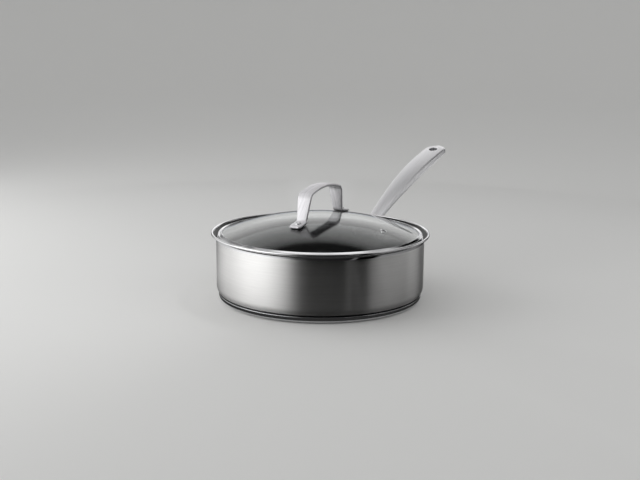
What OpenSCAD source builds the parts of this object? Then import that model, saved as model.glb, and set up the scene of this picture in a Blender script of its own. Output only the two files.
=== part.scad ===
// Saute pan with a glass lid.
// Origin: on the vessel's axis, at the underside of the base. +Z is up, and the long handle points along +X.

/* [Vessel] */
// Outside diameter of the vessel's side
body_d = 242; // [200:1:300]
// Height from the underside of the base to the top of the rim
body_h = 79; // [70:0.5:110]
// Thickness of the drawn steel wall and floor
wall_t = 1.2; // [0.8:0.1:2]
// Outside radius of the rounded bottom corner
corner_r = 11; // [7:0.5:16]

/* [Rim] */
// Radius of the flare, on the wall's outside face
flare_r = 6.5; // [5:0.25:8]
// Angle that the wall turns outwards in the flare
flare_angle = 74; // [66:1:80]
// Thickness of the turned edge
rim_edge_d = 2.8; // [1.8:0.1:3.2]

/* [Capsule base] */
// Distance that the base stays inside the vessel's side
base_inset = 2.5; // [1:0.25:5]
// Height of the steel cap that shows under the side
cap_h = 7.5; // [6.5:0.25:9]
// Thickness of the steel cap
cap_t = 0.8; // [0.6:0.1:1.2]
// Thickness of the aluminium core
core_t = 5; // [4:0.25:6]
// Radius of the cap's rounded foot
foot_r = 6; // [3:0.5:6.5]

/* [Long handle] */
// Length of the two shells, along the top
handle_len = 214.5; // [170:0.5:250]
// Distance from the vessel's side to the mouth of the shells
neck_len = 14; // [12:0.5:24]
// Drop from the rim's top to the top of the mouth
handle_drop = 5; // [3:0.5:9]
// Rise angle at the mouth
handle_rise = 29; // [24:1:34]
// Rise angle at the tip
handle_tip_rise = 10.5; // [0:0.5:20]
// Width at the mouth
handle_neck_w = 16.3; // [14:0.1:20]
// Width at the widest
handle_w = 29.6; // [24:0.1:34]
// Depth at the mouth
handle_neck_h = 8.6; // [8:0.1:11]
// Depth that the middle gains over the mouth
handle_swell = 4.1; // [2:0.1:6]
// Place along the handle where it is widest, as a share of its length
widest_at = 0.9; // [0.6:0.05:1]
// Length of the rounded tip
tip_round = 17; // [12:0.5:24]
// How far the top is crowned
handle_crown = 0.9; // [0.4:0.1:1.6]
// How far the underside is crowned
handle_belly = 1.2; // [0.4:0.1:2]
// Radius of the upper shell's edges
upper_edge_r = 3; // [1.5:0.1:3.5]
// Radius of the lower shell's edges
lower_edge_r = 4; // [1.5:0.1:5]
// Thickness of the two shells
shell_t = 1.2; // [0.8:0.1:1.6]

/* [Hanging hole] */
// Bore of the sleeve
hang_d = 12; // [8:0.5:13]
// Wall of the sleeve
sleeve_t = 1; // [0.6:0.1:1.5]
// Distance from the tip to the hole's centre
hang_from_tip = 21; // [18:0.5:30]

/* [Handle bracket] */
// Width of the pad on the vessel's side
pad_w = 48; // [42:1:60]
// Height of the pad
pad_h = 25; // [22:0.5:28]
// Radius of the pad's corners
pad_corner_r = 10; // [4:0.5:10.5]
// Thickness of the pad
pad_t = 2.6; // [2:0.1:4]
// Distance from the rim's top down to the pad's centre
pad_drop = 22; // [20:0.5:26]
// Height of the neck's root above the pad's centre
neck_lift = 4; // [2:0.5:5]
// Width of the neck where it meets the pad
neck_root_w = 21; // [17:0.5:23]
// Height of the neck where it meets the pad
neck_root_h = 15; // [12:0.5:18]
// Length of the tang inside the shells
tang_len = 26; // [15:1:40]

/* [Handle rivets] */
// Shank diameter
rivet_d = 5; // [4:0.1:6]
// Head diameter outside, on the pad
rivet_head_d = 9; // [7.5:0.1:10]
// Head diameter inside the vessel
rivet_inner_d = 10; // [8:0.1:12]
// Height of both heads
rivet_head_h = 1.8; // [1:0.1:2.4]
// Distance between the two rivets
rivet_pitch = 34; // [32:0.5:48]

/* [Lid] */
// Distance from the vessel's inside to the edge of the glass
glass_inset = 3; // [2.8:0.1:4]
// Thickness of the glass
glass_t = 4; // [3:0.1:5]
// Rise of the dome from the glass edge to the apex
dome_rise = 22; // [14:0.5:30]
// Thickness of the band's sheet
band_t = 0.8; // [0.5:0.1:1]
// Width of the band's lip on top of the glass
lip_w = 2.5; // [1:0.1:5]
// Radius of the rolled bead that the lid rests on
bead_r = 1.8; // [1.5:0.1:2.2]
// Distance from the vessel's inside to the bead's centre
bead_inset = 0.9; // [0.6:0.1:1.4]
// Depth of the skirt inside the vessel
skirt_h = 7; // [3:0.5:12]

/* [Lid handle] */
// Thickness of the strap
strap_t = 2.5; // [2:0.1:3]
// Width of the strap along the top
strap_w = 17; // [14:0.5:22]
// Width of the strap where the leg meets the foot
strap_leg_w = 12.5; // [11:0.5:14]
// Width of a foot
foot_w = 14; // [13:0.5:18]
// Radius of a foot's corners
foot_corner_r = 2.5; // [2:0.5:6]
// Height of the strap's top above the dome's apex
strap_h = 35.5; // [28:0.5:45]
// Distance between the two upper bends, corner to corner
strap_top_len = 78; // [70:1:90]
// Distance between the two lower bends, corner to corner
strap_foot_span = 94; // [84:1:100]
// Radius of the arched top
strap_arch_r = 130; // [90:5:300]
// Radius of the upper bends, at mid thickness
upper_bend_r = 9; // [4:0.5:11]
// Radius of the lower bends, at mid thickness
lower_bend_r = 3.5; // [2.5:0.25:5]
// Distance between the two rivets of the strap
lid_rivet_pitch = 111; // [109:0.5:126]
// Distance from each rivet to the end of its foot
foot_end = 9.5; // [7.5:0.5:12]
// Direction of the strap, seen from above, from the long handle
strap_turn = 3.5; // [-90:0.5:90]

/* [Lid fixings] */
// Shank diameter of the lid rivets
lid_rivet_d = 5; // [4:0.1:5.5]
// Head diameter of the lid rivets
lid_rivet_head_d = 7.4; // [6.5:0.1:9]
// Height of the domed heads
lid_rivet_head_h = 2.1; // [1:0.1:3]
// Diameter of the closed tails
lid_rivet_tail_d = 8; // [7:0.1:10]
// Height of the closed tails
lid_rivet_tail_h = 1.4; // [1:0.1:2]
// Thickness of the gaskets above and below the glass
gasket_t = 0.8; // [0.7:0.1:1.8]
// How far the upper gasket stays inside the foot
gasket_inset = 1; // [0.5:0.1:1.5]
// Diameter of the lower gasket's flange
lower_gasket_d = 14; // [12:0.5:18]
// Diameter of the washers
washer_d = 12; // [10:0.5:16]
// Thickness of the washers
washer_t = 1; // [0.8:0.1:1.6]
// Wall of the collar that lines the glass hole
collar_t = 1.3; // [1:0.1:2]

/* [Steam vent] */
// Bore of the eyelet
vent_d = 3.2; // [2:0.1:4]
// Wall of the eyelet
eyelet_t = 0.8; // [0.5:0.1:1.2]
// Diameter of the eyelet's two flanges
eyelet_flange_d = 7.6; // [6.5:0.1:10]
// Distance from the edge of the glass in to the vent
vent_inset = 34.8; // [12:0.2:50]
// Direction of the vent, seen from above, from the strap
vent_turn = -93.5; // [-130:0.5:-50]

/* [Clearances] */
// Gap between the lid's bead and the rim that it rests on
seat_gap = 0.3; // [0.2:0.05:0.5]
// Gap between the lid's skirt and the inside of the vessel
skirt_gap = 0.9; // [0.6:0.1:1.4]
// Gap between the bracket's tang and the inside of the shells
tang_gap = 0.6; // [0.3:0.1:1]
// Gap between fixed pieces that are fitted together
fit_gap = 0.1; // [0.05:0.05:0.2]

/* [Hidden] */
$fn = 96;

// Vessel and rim, in the half plane of X and Z
body_r = body_d/2;
inner_r = body_r - wall_t;
floor_z = cap_t + core_t;
flare_mid_r = flare_r + wall_t/2;
flare_x = body_r + flare_r;
flare_end = 180 - flare_angle;
flare_z = body_h - rim_edge_d/2 - flare_mid_r*sin(flare_end);

// Capsule base
base_r = body_r - base_inset;

// Lid: the bead sits on the flare's inside face, and the glass hangs from the bead
bead_x = inner_r - bead_inset;
bead_reach = flare_r + wall_t + bead_r + seat_gap;
bead_z = flare_z + sqrt(bead_reach*bead_reach - pow(flare_x - bead_x, 2));
glass_r = inner_r - glass_inset;
glass_edge_z = bead_z + band_t;
dome_r = (glass_r*glass_r + dome_rise*dome_rise)/(2*dome_rise);
dome_z = glass_edge_z + dome_rise - dome_r;
apex_z = dome_z + dome_r;
web_r = glass_r + fit_gap;
skirt_r = inner_r - skirt_gap;

// Strap of the lid, in the plane of U and Z that holds its two feet
foot_tilt = asin(lid_rivet_pitch/2/dome_r);
foot_top = gasket_t + strap_t;
foot_mid = [(dome_r + gasket_t + strap_t/2)*sin(foot_tilt),
            dome_z + (dome_r + gasket_t + strap_t/2)*cos(foot_tilt)];
arch_top_z = apex_z + strap_h - strap_t/2;
corner_top = [strap_top_len/2,
              arch_top_z - strap_arch_r + sqrt(pow(strap_arch_r, 2) - pow(strap_top_len/2, 2))];
corner_foot = [strap_foot_span/2, foot_mid[1] + (foot_mid[0] - strap_foot_span/2)*tan(foot_tilt)];
foot_heading = 180 - foot_tilt;
leg_heading = atan2(corner_top[1] - corner_foot[1], corner_top[0] - corner_foot[0]);
arch_heading = 180 - asin(strap_top_len/2/strap_arch_r);

// Hole in the glass for each lid rivet, and for the vent
glass_hole_d = lid_rivet_d + 2*collar_t + 4*fit_gap;
vent_tilt = asin((glass_r - vent_inset)/dome_r);
vent_hole_d = vent_d + 2*eyelet_t + 2*fit_gap;

// Long handle: its top line is a circular arc from the mouth to the tip
mouth = [body_r + neck_len, body_h - handle_drop];
bend_r = handle_len/((handle_rise - handle_tip_rise)*PI/180);
span_steps = 26;
tip_steps = 8;
tip_last = 84;
swell_turn = 150;
least_share = 0.05;
pad_z = body_h - pad_drop;
rivet_turn = asin(rivet_pitch/2/body_r);

steel = [0.78, 0.78, 0.79];
bright_steel = [0.86, 0.86, 0.88];
aluminium = [0.66, 0.67, 0.69];

// Direction of the long handle at a distance s along its top, from 0 at the mouth to 1 at the tip
function rise_at(s) = handle_rise - (handle_rise - handle_tip_rise)*s;
function top_at(s) = mouth + bend_r*[sin(handle_rise) - sin(rise_at(s)), cos(rise_at(s)) - cos(handle_rise)];
function depth_at(s) = handle_neck_h + handle_swell*sin(swell_turn*s);
function width_at(s) = handle_neck_w + (handle_w - handle_neck_w)*sin(90*min(1, s/widest_at));

// Centre of the handle's section at s
function axis_at(s) = top_at(s) + depth_at(s)/2*[sin(rise_at(s)), -cos(rise_at(s))];

// Stations along the handle: [s, share of the width, share of the depth]. The last ones round the tip
stations = concat(
    [for (i = [0 : span_steps]) [i/span_steps*(1 - tip_round/handle_len), 1, 1]],
    [for (i = [1 : tip_steps]) let (a = tip_last*i/tip_steps)
        [1 - tip_round/handle_len*(1 - sin(a)), cos(a), pow(cos(a), 0.2)]]);

// Upper half of the handle's section, from the split on one side over the top to the split on the other
function half_section(w, h, r, crown) = let (c = min(r, 0.9*(h - crown), 0.9*w/2))
    concat([[w/2, 0]],
           [for (a = [0 : 22.5 : 90]) [w/2 - c + c*cos(a), h - crown - c + c*sin(a)]],
           [for (k = [0.6, 0, -0.6]) [k*(w/2 - c), h - crown*k*k]],
           [for (a = [90 : 22.5 : 180]) [-w/2 + c + c*cos(a), h - crown - c + c*sin(a)]],
           [[-w/2, 0]]);

// A section's point [side, up] in space, for a section centred on p where the handle rises at the given angle
function in_space(p, rise, q) = [p[0] - q[1]*sin(rise), q[0], p[1] + q[1]*cos(rise)];

// One ring of a shell, outer points first. side is 1 for the upper shell and -1 for the lower
function shell_ring(station, side) = let (
        s = station[0], w = width_at(s)*station[1], h = depth_at(s)/2*station[2],
        p = axis_at(s), rise = rise_at(s),
        outer = half_section(w, h, side > 0 ? upper_edge_r : lower_edge_r,
                             side > 0 ? handle_crown : handle_belly),
        hollow_w = max(least_share, 1 - shell_t/(w/2)),
        hollow_h = max(least_share, 1 - shell_t/h)*station[1])
    concat([for (q = outer) in_space(p, rise, [q[0], side*q[1]])],
           [for (q = outer) in_space(p, rise, [q[0]*hollow_w, side*q[1]*hollow_h])]);

// Closed skin of a shell: each ring holds n outer points and then n inner ones
module shell_skin(rings, flip) {
    n = len(rings[0])/2;
    m = len(rings);
    quads = concat(
        [for (k = [0 : m - 2], j = [0 : n - 2]) let (a = k*2*n + j, b = a + 2*n) [a, a + 1, b + 1, b]],
        [for (k = [0 : m - 2], j = [0 : n - 2]) let (a = k*2*n + n + j, b = a + 2*n) [a, b, b + 1, a + 1]],
        [for (k = [0 : m - 2]) let (a = k*2*n, b = a + 2*n) [a, b, b + n, a + n]],
        [for (k = [0 : m - 2]) let (a = k*2*n + n - 1, b = a + 2*n) [a, a + n, b + n, b]],
        [for (j = [0 : n - 2]) [j, j + n, j + n + 1, j + 1]],
        [for (j = [0 : n - 2]) let (a = (m - 1)*2*n + j) [a, a + 1, a + n + 1, a + n]]);
    faces = [for (q = quads) each [[q[0], q[1], q[2]], [q[0], q[2], q[3]]]];
    polyhedron([for (r = rings) each r], flip ? [for (f = faces) [f[2], f[1], f[0]]] : faces);
}

// Solid through a list of closed rings that all have the same number of points
module ring_solid(rings) {
    n = len(rings[0]);
    m = len(rings);
    sides = [for (k = [0 : m - 2], j = [0 : n - 1])
        let (a = k*n + j, b = k*n + (j + 1)%n) each [[a, b + n, b], [a, a + n, b + n]]];
    polyhedron([for (r = rings) each r],
               concat(sides, [[for (j = [0 : n - 1]) j]], [[for (j = [n - 1 : -1 : 0]) (m - 1)*n + j]]));
}

// Rounded rectangle as a closed ring in space, centred on p and turned by the rise angle
function block_ring(p, rise, w, h, r) = [for (c = [[1, 1, 0], [-1, 1, 90], [-1, -1, 180], [1, -1, 270]],
        a = [0 : 30 : 90]) in_space(p, rise,
            [c[0]*(w/2 - r) + r*cos(a + c[2]), c[1]*(h/2 - r) + r*sin(a + c[2])])];

// Part of a flat ring between two angles: inner and outer radius, start and end
module arc_strip(r0, r1, a0, a1) {
    mid = (a0 + a1)/2;
    reach = 2*r1;
    intersection() {
        difference() {
            circle(r = r1);
            circle(r = r0);
        }
        polygon([[0, 0], reach*[cos(a0), sin(a0)], reach*[cos(mid), sin(mid)], reach*[cos(a1), sin(a1)]]);
    }
}

// Rounded rectangle about the origin
module plate(w, h, r) {
    square([w - 2*r, h], center = true);
    square([w, h - 2*r], center = true);
    for (x = [-1, 1], y = [-1, 1]) translate([x*(w/2 - r), y*(h/2 - r)]) circle(r = r);
}

// Domed rivet head that stands on the plane z = 0
module rivet_head(d, h) {
    r = (d*d/4 + h*h)/(2*h);
    rotate_extrude() intersection() {
        translate([0, h - r]) circle(r = r);
        square([d/2, h]);
    }
}

// Section of the vessel: floor, corner, side, flare and turned edge
module body_section() {
    translate([0, floor_z]) square([body_r - corner_r, wall_t]);
    translate([body_r - corner_r, floor_z + corner_r]) arc_strip(corner_r - wall_t, corner_r, -90, 0);
    translate([inner_r, floor_z + corner_r]) square([wall_t, flare_z - floor_z - corner_r]);
    translate([flare_x, flare_z]) arc_strip(flare_r, flare_r + wall_t, flare_end, 180);
    translate([flare_x + flare_mid_r*cos(flare_end), flare_z + flare_mid_r*sin(flare_end)])
        circle(d = rim_edge_d);
}

// Outside of the base, drawn in by the given distance
module base_section(inset) {
    r = foot_r - inset;
    translate([0, inset]) square([base_r - foot_r, cap_h]);
    translate([0, foot_r]) square([base_r - inset, cap_h]);
    translate([base_r - foot_r, foot_r]) circle(r = r);
}

// Places children at each of the two handle rivets, with +Z pointing out of the vessel
module at_handle_rivets(r) {
    for (side = [-1, 1]) rotate([0, 0, side*rivet_turn])
        translate([r, 0, pad_z]) rotate([0, 90, 0]) children();
}

// Places children on top of the glass at the given tilt and turn, with +Z square to the glass
module on_dome(turn, tilt) {
    rotate([0, 0, turn]) translate([0, 0, dome_z]) rotate([0, tilt, 0]) translate([0, 0, dome_r]) children();
}

// Places children on top of the glass at each foot of the strap
module at_feet() {
    for (half = [0, 180]) on_dome(strap_turn + half, foot_tilt) children();
}

// Corner rounded by an arc: points [x, z, heading] from heading a0 to a1 round the sharp corner p
function bend(p, a0, a1, r, steps) = let (
        side = a1 > a0 ? 1 : -1,
        start = p - r*tan(abs(a1 - a0)/2)*[cos(a0), sin(a0)],
        c = start + side*r*[-sin(a0), cos(a0)])
    [for (i = [0 : steps]) let (a = a0 + (a1 - a0)*i/steps) [c[0] + side*r*sin(a), c[1] - side*r*cos(a), a]];

// Half of the strap's middle line, from the end of one foot to the top of the arch
foot_tip = foot_mid + foot_end*[cos(foot_tilt), -sin(foot_tilt)];
arch_start = asin((strap_top_len/2 - upper_bend_r*tan((arch_heading - leg_heading)/2))/strap_arch_r);
half_strap = concat(
    [[foot_tip[0], foot_tip[1], foot_heading]],
    bend(corner_foot, foot_heading, leg_heading, lower_bend_r, 8),
    bend(corner_top, leg_heading, arch_heading, upper_bend_r, 10),
    [for (i = [1 : 8]) let (a = arch_start*(1 - i/8))
        [strap_arch_r*sin(a), arch_top_z - strap_arch_r*(1 - cos(a)), 180 - a]]);

// Outline of the strap seen from the side
function beside(p, d) = [p[0] - d*sin(p[2]), p[1] + d*cos(p[2])];
module strap_outline() {
    half_outer = [for (p = half_strap) beside(p, -strap_t/2)];
    half_inner = [for (p = half_strap) beside(p, strap_t/2)];
    n = len(half_strap);
    polygon(concat(half_outer, [for (i = [n - 2 : -1 : 0]) [-half_outer[i][0], half_outer[i][1]]],
                   [for (q = half_inner) [-q[0], q[1]]],
                   [for (i = [n - 2 : -1 : 0]) half_inner[i]]));
}

// Outline of the strap seen along its feet: the legs widen upwards
module strap_width_outline() {
    low = corner_foot[1] - strap_t;
    high = arch_top_z + strap_t;
    half = [[strap_leg_w/2, low], [strap_w/2, corner_top[1]], [strap_w/2, high]];
    polygon(concat(half, [for (i = [2 : -1 : 0]) [-half[i][0], half[i][1]]]));
}

module pan_body() {
    color(steel) difference() {
        rotate_extrude() body_section();
        at_handle_rivets(0) cylinder(d = rivet_d + 2*fit_gap, h = flare_x);
    }
}

module base_core() {
    color(aluminium) rotate_extrude() difference() {
        intersection() {
            base_section(cap_t + fit_gap);
            square([base_r, cap_h - fit_gap]);
        }
        translate([0, floor_z]) square([body_r - corner_r, cap_h]);
        translate([body_r - corner_r, floor_z + corner_r]) circle(r = corner_r + fit_gap);
    }
}

module base_cap() {
    color(bright_steel) rotate_extrude() intersection() {
        difference() {
            base_section(0);
            base_section(cap_t);
            translate([0, foot_r]) square([base_r - cap_t, cap_h]);
        }
        square([base_r, cap_h]);
    }
}

// Rings of the bracket's neck, which narrows from the pad to the shells' mouth
neck_steps = 6;
neck_root = [body_r + pad_t/2, pad_z + neck_lift];
neck_rings = [for (i = [0 : neck_steps]) let (u = i/neck_steps, flare = (1 - u)*(1 - u))
    block_ring(neck_root + (axis_at(0) - neck_root)*u, handle_rise*u,
               handle_neck_w + (neck_root_w - handle_neck_w)*flare,
               handle_neck_h + (neck_root_h - handle_neck_h)*flare, upper_edge_r)];

// Rings of the tang, which fits inside both shells
tang_steps = 4;
tang_inset = shell_t + tang_gap;
tang_rings = [for (i = [0 : tang_steps]) let (s = tang_len/handle_len*i/tang_steps)
    block_ring(axis_at(s), rise_at(s), width_at(s) - 2*tang_inset,
               depth_at(s) - 2*(tang_inset + max(handle_crown, handle_belly)), upper_edge_r/3)];

module handle_bracket() {
    color(steel) difference() {
        union() {
            intersection() {
                difference() {
                    cylinder(r = body_r + pad_t, h = body_h);
                    cylinder(r = body_r + fit_gap/2, h = body_h);
                }
                translate([0, 0, pad_z]) rotate([90, 0, 90]) linear_extrude(body_d)
                    plate(pad_w, pad_h, pad_corner_r);
            }
            ring_solid(concat(neck_rings, tang_rings));
        }
        at_handle_rivets(0) cylinder(d = rivet_d + 2*fit_gap, h = body_d);
    }
}

module handle_rivets() {
    inner = inner_r - 2*fit_gap;
    outer = body_r + pad_t + fit_gap;
    color(bright_steel) {
        at_handle_rivets(inner) {
            cylinder(d = rivet_d, h = outer - inner);
            rotate([180, 0, 0]) rivet_head(rivet_inner_d, rivet_head_h);
        }
        at_handle_rivets(outer) rivet_head(rivet_head_d, rivet_head_h);
    }
}

// Places children at the hanging hole, with +Z square to the handle's top
module at_hanging_hole() {
    s = 1 - hang_from_tip/handle_len;
    translate([axis_at(s)[0], 0, axis_at(s)[1]]) rotate([0, -rise_at(s), 0]) children();
}

// One pressed shell of the handle: side is 1 for the upper one and -1 for the lower
module handle_shell(side) {
    color(steel) difference() {
        shell_skin([for (station = stations) shell_ring(station, side)], side > 0);
        at_hanging_hole() cylinder(d = hang_d + 2*sleeve_t + 2*fit_gap, h = 3*handle_w, center = true);
    }
}

module handle_upper_shell() {
    handle_shell(1);
}

module handle_lower_shell() {
    handle_shell(-1);
}

module hanging_sleeve() {
    h = depth_at(1 - hang_from_tip/handle_len) - handle_crown;
    color(bright_steel) at_hanging_hole() difference() {
        cylinder(d = hang_d + 2*sleeve_t, h = h, center = true);
        cylinder(d = hang_d, h = 2*h, center = true);
    }
}

// Section between the two faces of the dome, grown by the given distances outside and inside
module dome_section(out, in) {
    translate([0, dome_z]) difference() {
        circle(r = dome_r + out, $fn = 720);
        circle(r = dome_r - glass_t - in, $fn = 720);
    }
}

module lid_glass() {
    color([0.55, 0.62, 0.64, 0.45]) difference() {
        rotate_extrude() intersection() {
            dome_section(0, 0);
            square([glass_r, apex_z]);
        }
        at_feet() cylinder(d = glass_hole_d, h = 3*glass_t, center = true);
        on_dome(strap_turn + vent_turn, vent_tilt) cylinder(d = vent_hole_d, h = 3*glass_t, center = true);
    }
}

module lid_band() {
    lip_top = fit_gap + band_t;
    web_bottom = glass_edge_z - glass_t - 2*band_t;
    color(bright_steel) rotate_extrude() {
        difference() {
            intersection() {
                dome_section(lip_top, lip_top);
                translate([glass_r - lip_w, 0]) square([bead_x - glass_r + lip_w, body_h + dome_rise]);
            }
            intersection() {
                dome_section(fit_gap, fit_gap);
                square([web_r, apex_z]);
            }
        }
        translate([bead_x, bead_z]) circle(r = bead_r);
        translate([web_r, web_bottom]) square([skirt_r - web_r, bead_z - web_bottom]);
        translate([skirt_r - band_t, flare_z - skirt_h]) square([band_t, bead_z - flare_z + skirt_h]);
    }
}

module lid_handle() {
    reach = foot_tip[0] + strap_t;
    foot_z = corner_foot[1] + strap_t;
    color(bright_steel) difference() {
        rotate([0, 0, strap_turn]) intersection() {
            rotate([90, 0, 0]) linear_extrude(2*strap_w, center = true) strap_outline();
            union() {
                rotate([90, 0, 90]) linear_extrude(2*corner_foot[0], center = true)
                    strap_width_outline();
                linear_extrude(foot_z) plate(2*foot_tip[0], foot_w, foot_corner_r);
            }
        }
        at_feet() cylinder(d = lid_rivet_d + 2*fit_gap, h = 2*reach, center = true);
    }
}

// Levels under the top of the glass, at each foot
under_glass = -glass_t - 2*fit_gap;
washer_top = under_glass - gasket_t;
tail_top = washer_top - washer_t;

module lid_rivets() {
    color(bright_steel) at_feet() {
        translate([0, 0, tail_top]) cylinder(d = lid_rivet_d, h = foot_top - tail_top);
        translate([0, 0, foot_top]) rivet_head(lid_rivet_head_d, lid_rivet_head_h);
        translate([0, 0, tail_top - lid_rivet_tail_h]) cylinder(d = lid_rivet_tail_d, h = lid_rivet_tail_h);
    }
}

module lid_upper_gaskets() {
    color([0.08, 0.08, 0.08]) at_feet() difference() {
        translate([0, 0, fit_gap]) linear_extrude(gasket_t - fit_gap)
            plate(2*(foot_end - gasket_inset), foot_w - 2*gasket_inset, foot_corner_r - gasket_inset);
        cylinder(d = lid_rivet_d + 2*fit_gap, h = 3*gasket_t, center = true);
    }
}

module lid_lower_gaskets() {
    color([0.08, 0.08, 0.08]) at_feet() difference() {
        union() {
            translate([0, 0, washer_top]) cylinder(d = lower_gasket_d, h = gasket_t);
            translate([0, 0, washer_top]) cylinder(d = lid_rivet_d + 2*collar_t + 2*fit_gap, h = -washer_top);
        }
        cylinder(d = lid_rivet_d + 2*fit_gap, h = 4*glass_t, center = true);
    }
}

module lid_washers() {
    color(bright_steel) at_feet() translate([0, 0, tail_top]) difference() {
        cylinder(d = washer_d, h = washer_t);
        cylinder(d = lid_rivet_d + 2*fit_gap, h = 3*washer_t, center = true);
    }
}

module vent_eyelet() {
    color(bright_steel) on_dome(strap_turn + vent_turn, vent_tilt) difference() {
        union() {
            translate([0, 0, fit_gap]) rivet_head(eyelet_flange_d, eyelet_t);
            translate([0, 0, under_glass]) cylinder(d = vent_d + 2*eyelet_t, h = -under_glass + fit_gap);
            translate([0, 0, under_glass - eyelet_t]) cylinder(d = eyelet_flange_d, h = eyelet_t);
        }
        cylinder(d = vent_d, h = 4*glass_t, center = true);
    }
}

pan_body();
base_core();
base_cap();
handle_bracket();
handle_rivets();
handle_upper_shell();
handle_lower_shell();
hanging_sleeve();
lid_glass();
lid_band();
lid_handle();
lid_rivets();
lid_upper_gaskets();
lid_lower_gaskets();
lid_washers();
vent_eyelet();
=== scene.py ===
"""A saute pan with a glass lid, dressed for its picture.

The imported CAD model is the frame. Sizes are in millimetres, with the Z axis on the axis of the pan and the
long handle along +X, and meshes are written in metres.
"""
import math

import bmesh
import bpy
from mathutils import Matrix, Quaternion, Vector


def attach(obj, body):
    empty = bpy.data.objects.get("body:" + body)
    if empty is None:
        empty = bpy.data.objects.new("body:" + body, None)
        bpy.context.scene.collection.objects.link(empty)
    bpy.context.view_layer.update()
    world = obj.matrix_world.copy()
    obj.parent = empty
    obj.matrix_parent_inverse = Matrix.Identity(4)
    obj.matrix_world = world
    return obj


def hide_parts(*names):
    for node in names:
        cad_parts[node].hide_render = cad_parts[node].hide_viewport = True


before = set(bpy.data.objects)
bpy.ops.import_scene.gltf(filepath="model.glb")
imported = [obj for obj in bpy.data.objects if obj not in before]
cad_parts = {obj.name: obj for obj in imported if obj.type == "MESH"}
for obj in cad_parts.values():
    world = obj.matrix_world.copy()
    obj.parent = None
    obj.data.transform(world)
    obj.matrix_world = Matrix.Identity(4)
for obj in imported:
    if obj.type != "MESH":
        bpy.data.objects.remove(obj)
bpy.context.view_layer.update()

# The vessel: one deep-drawn bowl of 1.2 mm stainless steel, with a rounded corner at the bottom and a flared
# rim whose edge is turned and polished. Its side is brushed round and round, and a dark lining covers the inside
# up to the turned edge.
side_r, rim_z, wall_t = 121.0, 79.0, 1.2
floor_z, corner_r, polished_foot_h = 5.8, 11.0, 3.3
flare_r, flare_angle, flare_bend, edge_d = 6.5, 74.0, 30.0, 2.8
steps_round = 288


class Amount:
    """A number that a node tree works out. Reckoning with it adds Math nodes to its tree."""

    def __init__(self, socket):
        self.socket = socket

    def reckon(self, operation, *values):
        inputs = dict(enumerate(values))
        return Amount(node(self.socket.id_data, "ShaderNodeMath", inputs, operation=operation).outputs[0])

    def __add__(self, other):
        return self.reckon("ADD", self, other)

    def __sub__(self, other):
        return self.reckon("SUBTRACT", self, other)

    def __rsub__(self, other):
        return self.reckon("SUBTRACT", other, self)

    def __mul__(self, other):
        return self.reckon("MULTIPLY", self, other)

    def __truediv__(self, other):
        return self.reckon("DIVIDE", self, other)

    def __neg__(self):
        return self*-1.0

    def __gt__(self, other):
        return self.reckon("GREATER_THAN", self, other)

    def __lt__(self, other):
        return self.reckon("LESS_THAN", self, other)

    def at_least(self, other):
        return self.reckon("MAXIMUM", self, other)

    def sine(self):
        return self.reckon("SINE", self)

    def cosine(self):
        return self.reckon("COSINE", self)

    def arcsine(self):
        return self.reckon("ARCSINE", self)

    def root(self):
        return self.reckon("SQRT", self)


def node(tree, kind, inputs=None, **settings):
    """Adds a node. An input that is given a socket or an amount is linked, and any other value is set."""
    made = tree.nodes.new(kind)
    for name, value in settings.items():
        setattr(made, name, value)
    for name, value in (inputs or {}).items():
        value = value.socket if isinstance(value, Amount) else value
        if isinstance(value, bpy.types.NodeSocket):
            tree.links.new(value, made.inputs[name])
        else:
            made.inputs[name].default_value = value
    return made


def amounts(made):
    """A node's outputs by name."""
    return {output.name: Amount(output) for output in made.outputs}


def apart(tree, vector):
    """A vector's X, Y and Z."""
    return amounts(node(tree, "ShaderNodeSeparateXYZ", {"Vector": vector}))


def distance(a, b):
    """The distance that two lengths at right angles make."""
    return (a*a + b*b).root()


def ranged(tree, value, low, high, start=0.0, end=1.0):
    """A number that goes from low to high while the value goes from start to end."""
    return Amount(node(tree, "ShaderNodeMapRange", {"Value": value, "From Min": start, "From Max": end,
                                                    "To Min": low, "To Max": high}).outputs[0])


def noise(tree, place, scale, detail, roughness=0.5):
    """A cloudy pattern at a place. scale is about the number of its grains in a metre."""
    return Amount(node(tree, "ShaderNodeTexNoise", {"Vector": place, "Scale": scale, "Detail": detail,
                                                    "Roughness": roughness}).outputs["Fac"])


def bumps(tree, height, strength, depth):
    """Small bumps that are as deep as this, in metres."""
    return node(tree, "ShaderNodeBump", {"Height": height, "Strength": strength,
                                         "Distance": depth}).outputs[0]


def new_material(name):
    """A material whose tree is still empty, its tree, and the place on the piece."""
    made = bpy.data.materials.new(name)
    made.use_nodes = True
    made.node_tree.nodes.clear()
    return made, made.node_tree, node(made.node_tree, "ShaderNodeTexCoord").outputs["Object"]


def coat(tree, inputs):
    """Ends a material's tree in its shader."""
    skin = node(tree, "ShaderNodeBsdfPrincipled", inputs)
    node(tree, "ShaderNodeOutputMaterial", {"Surface": skin.outputs[0]})


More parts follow.
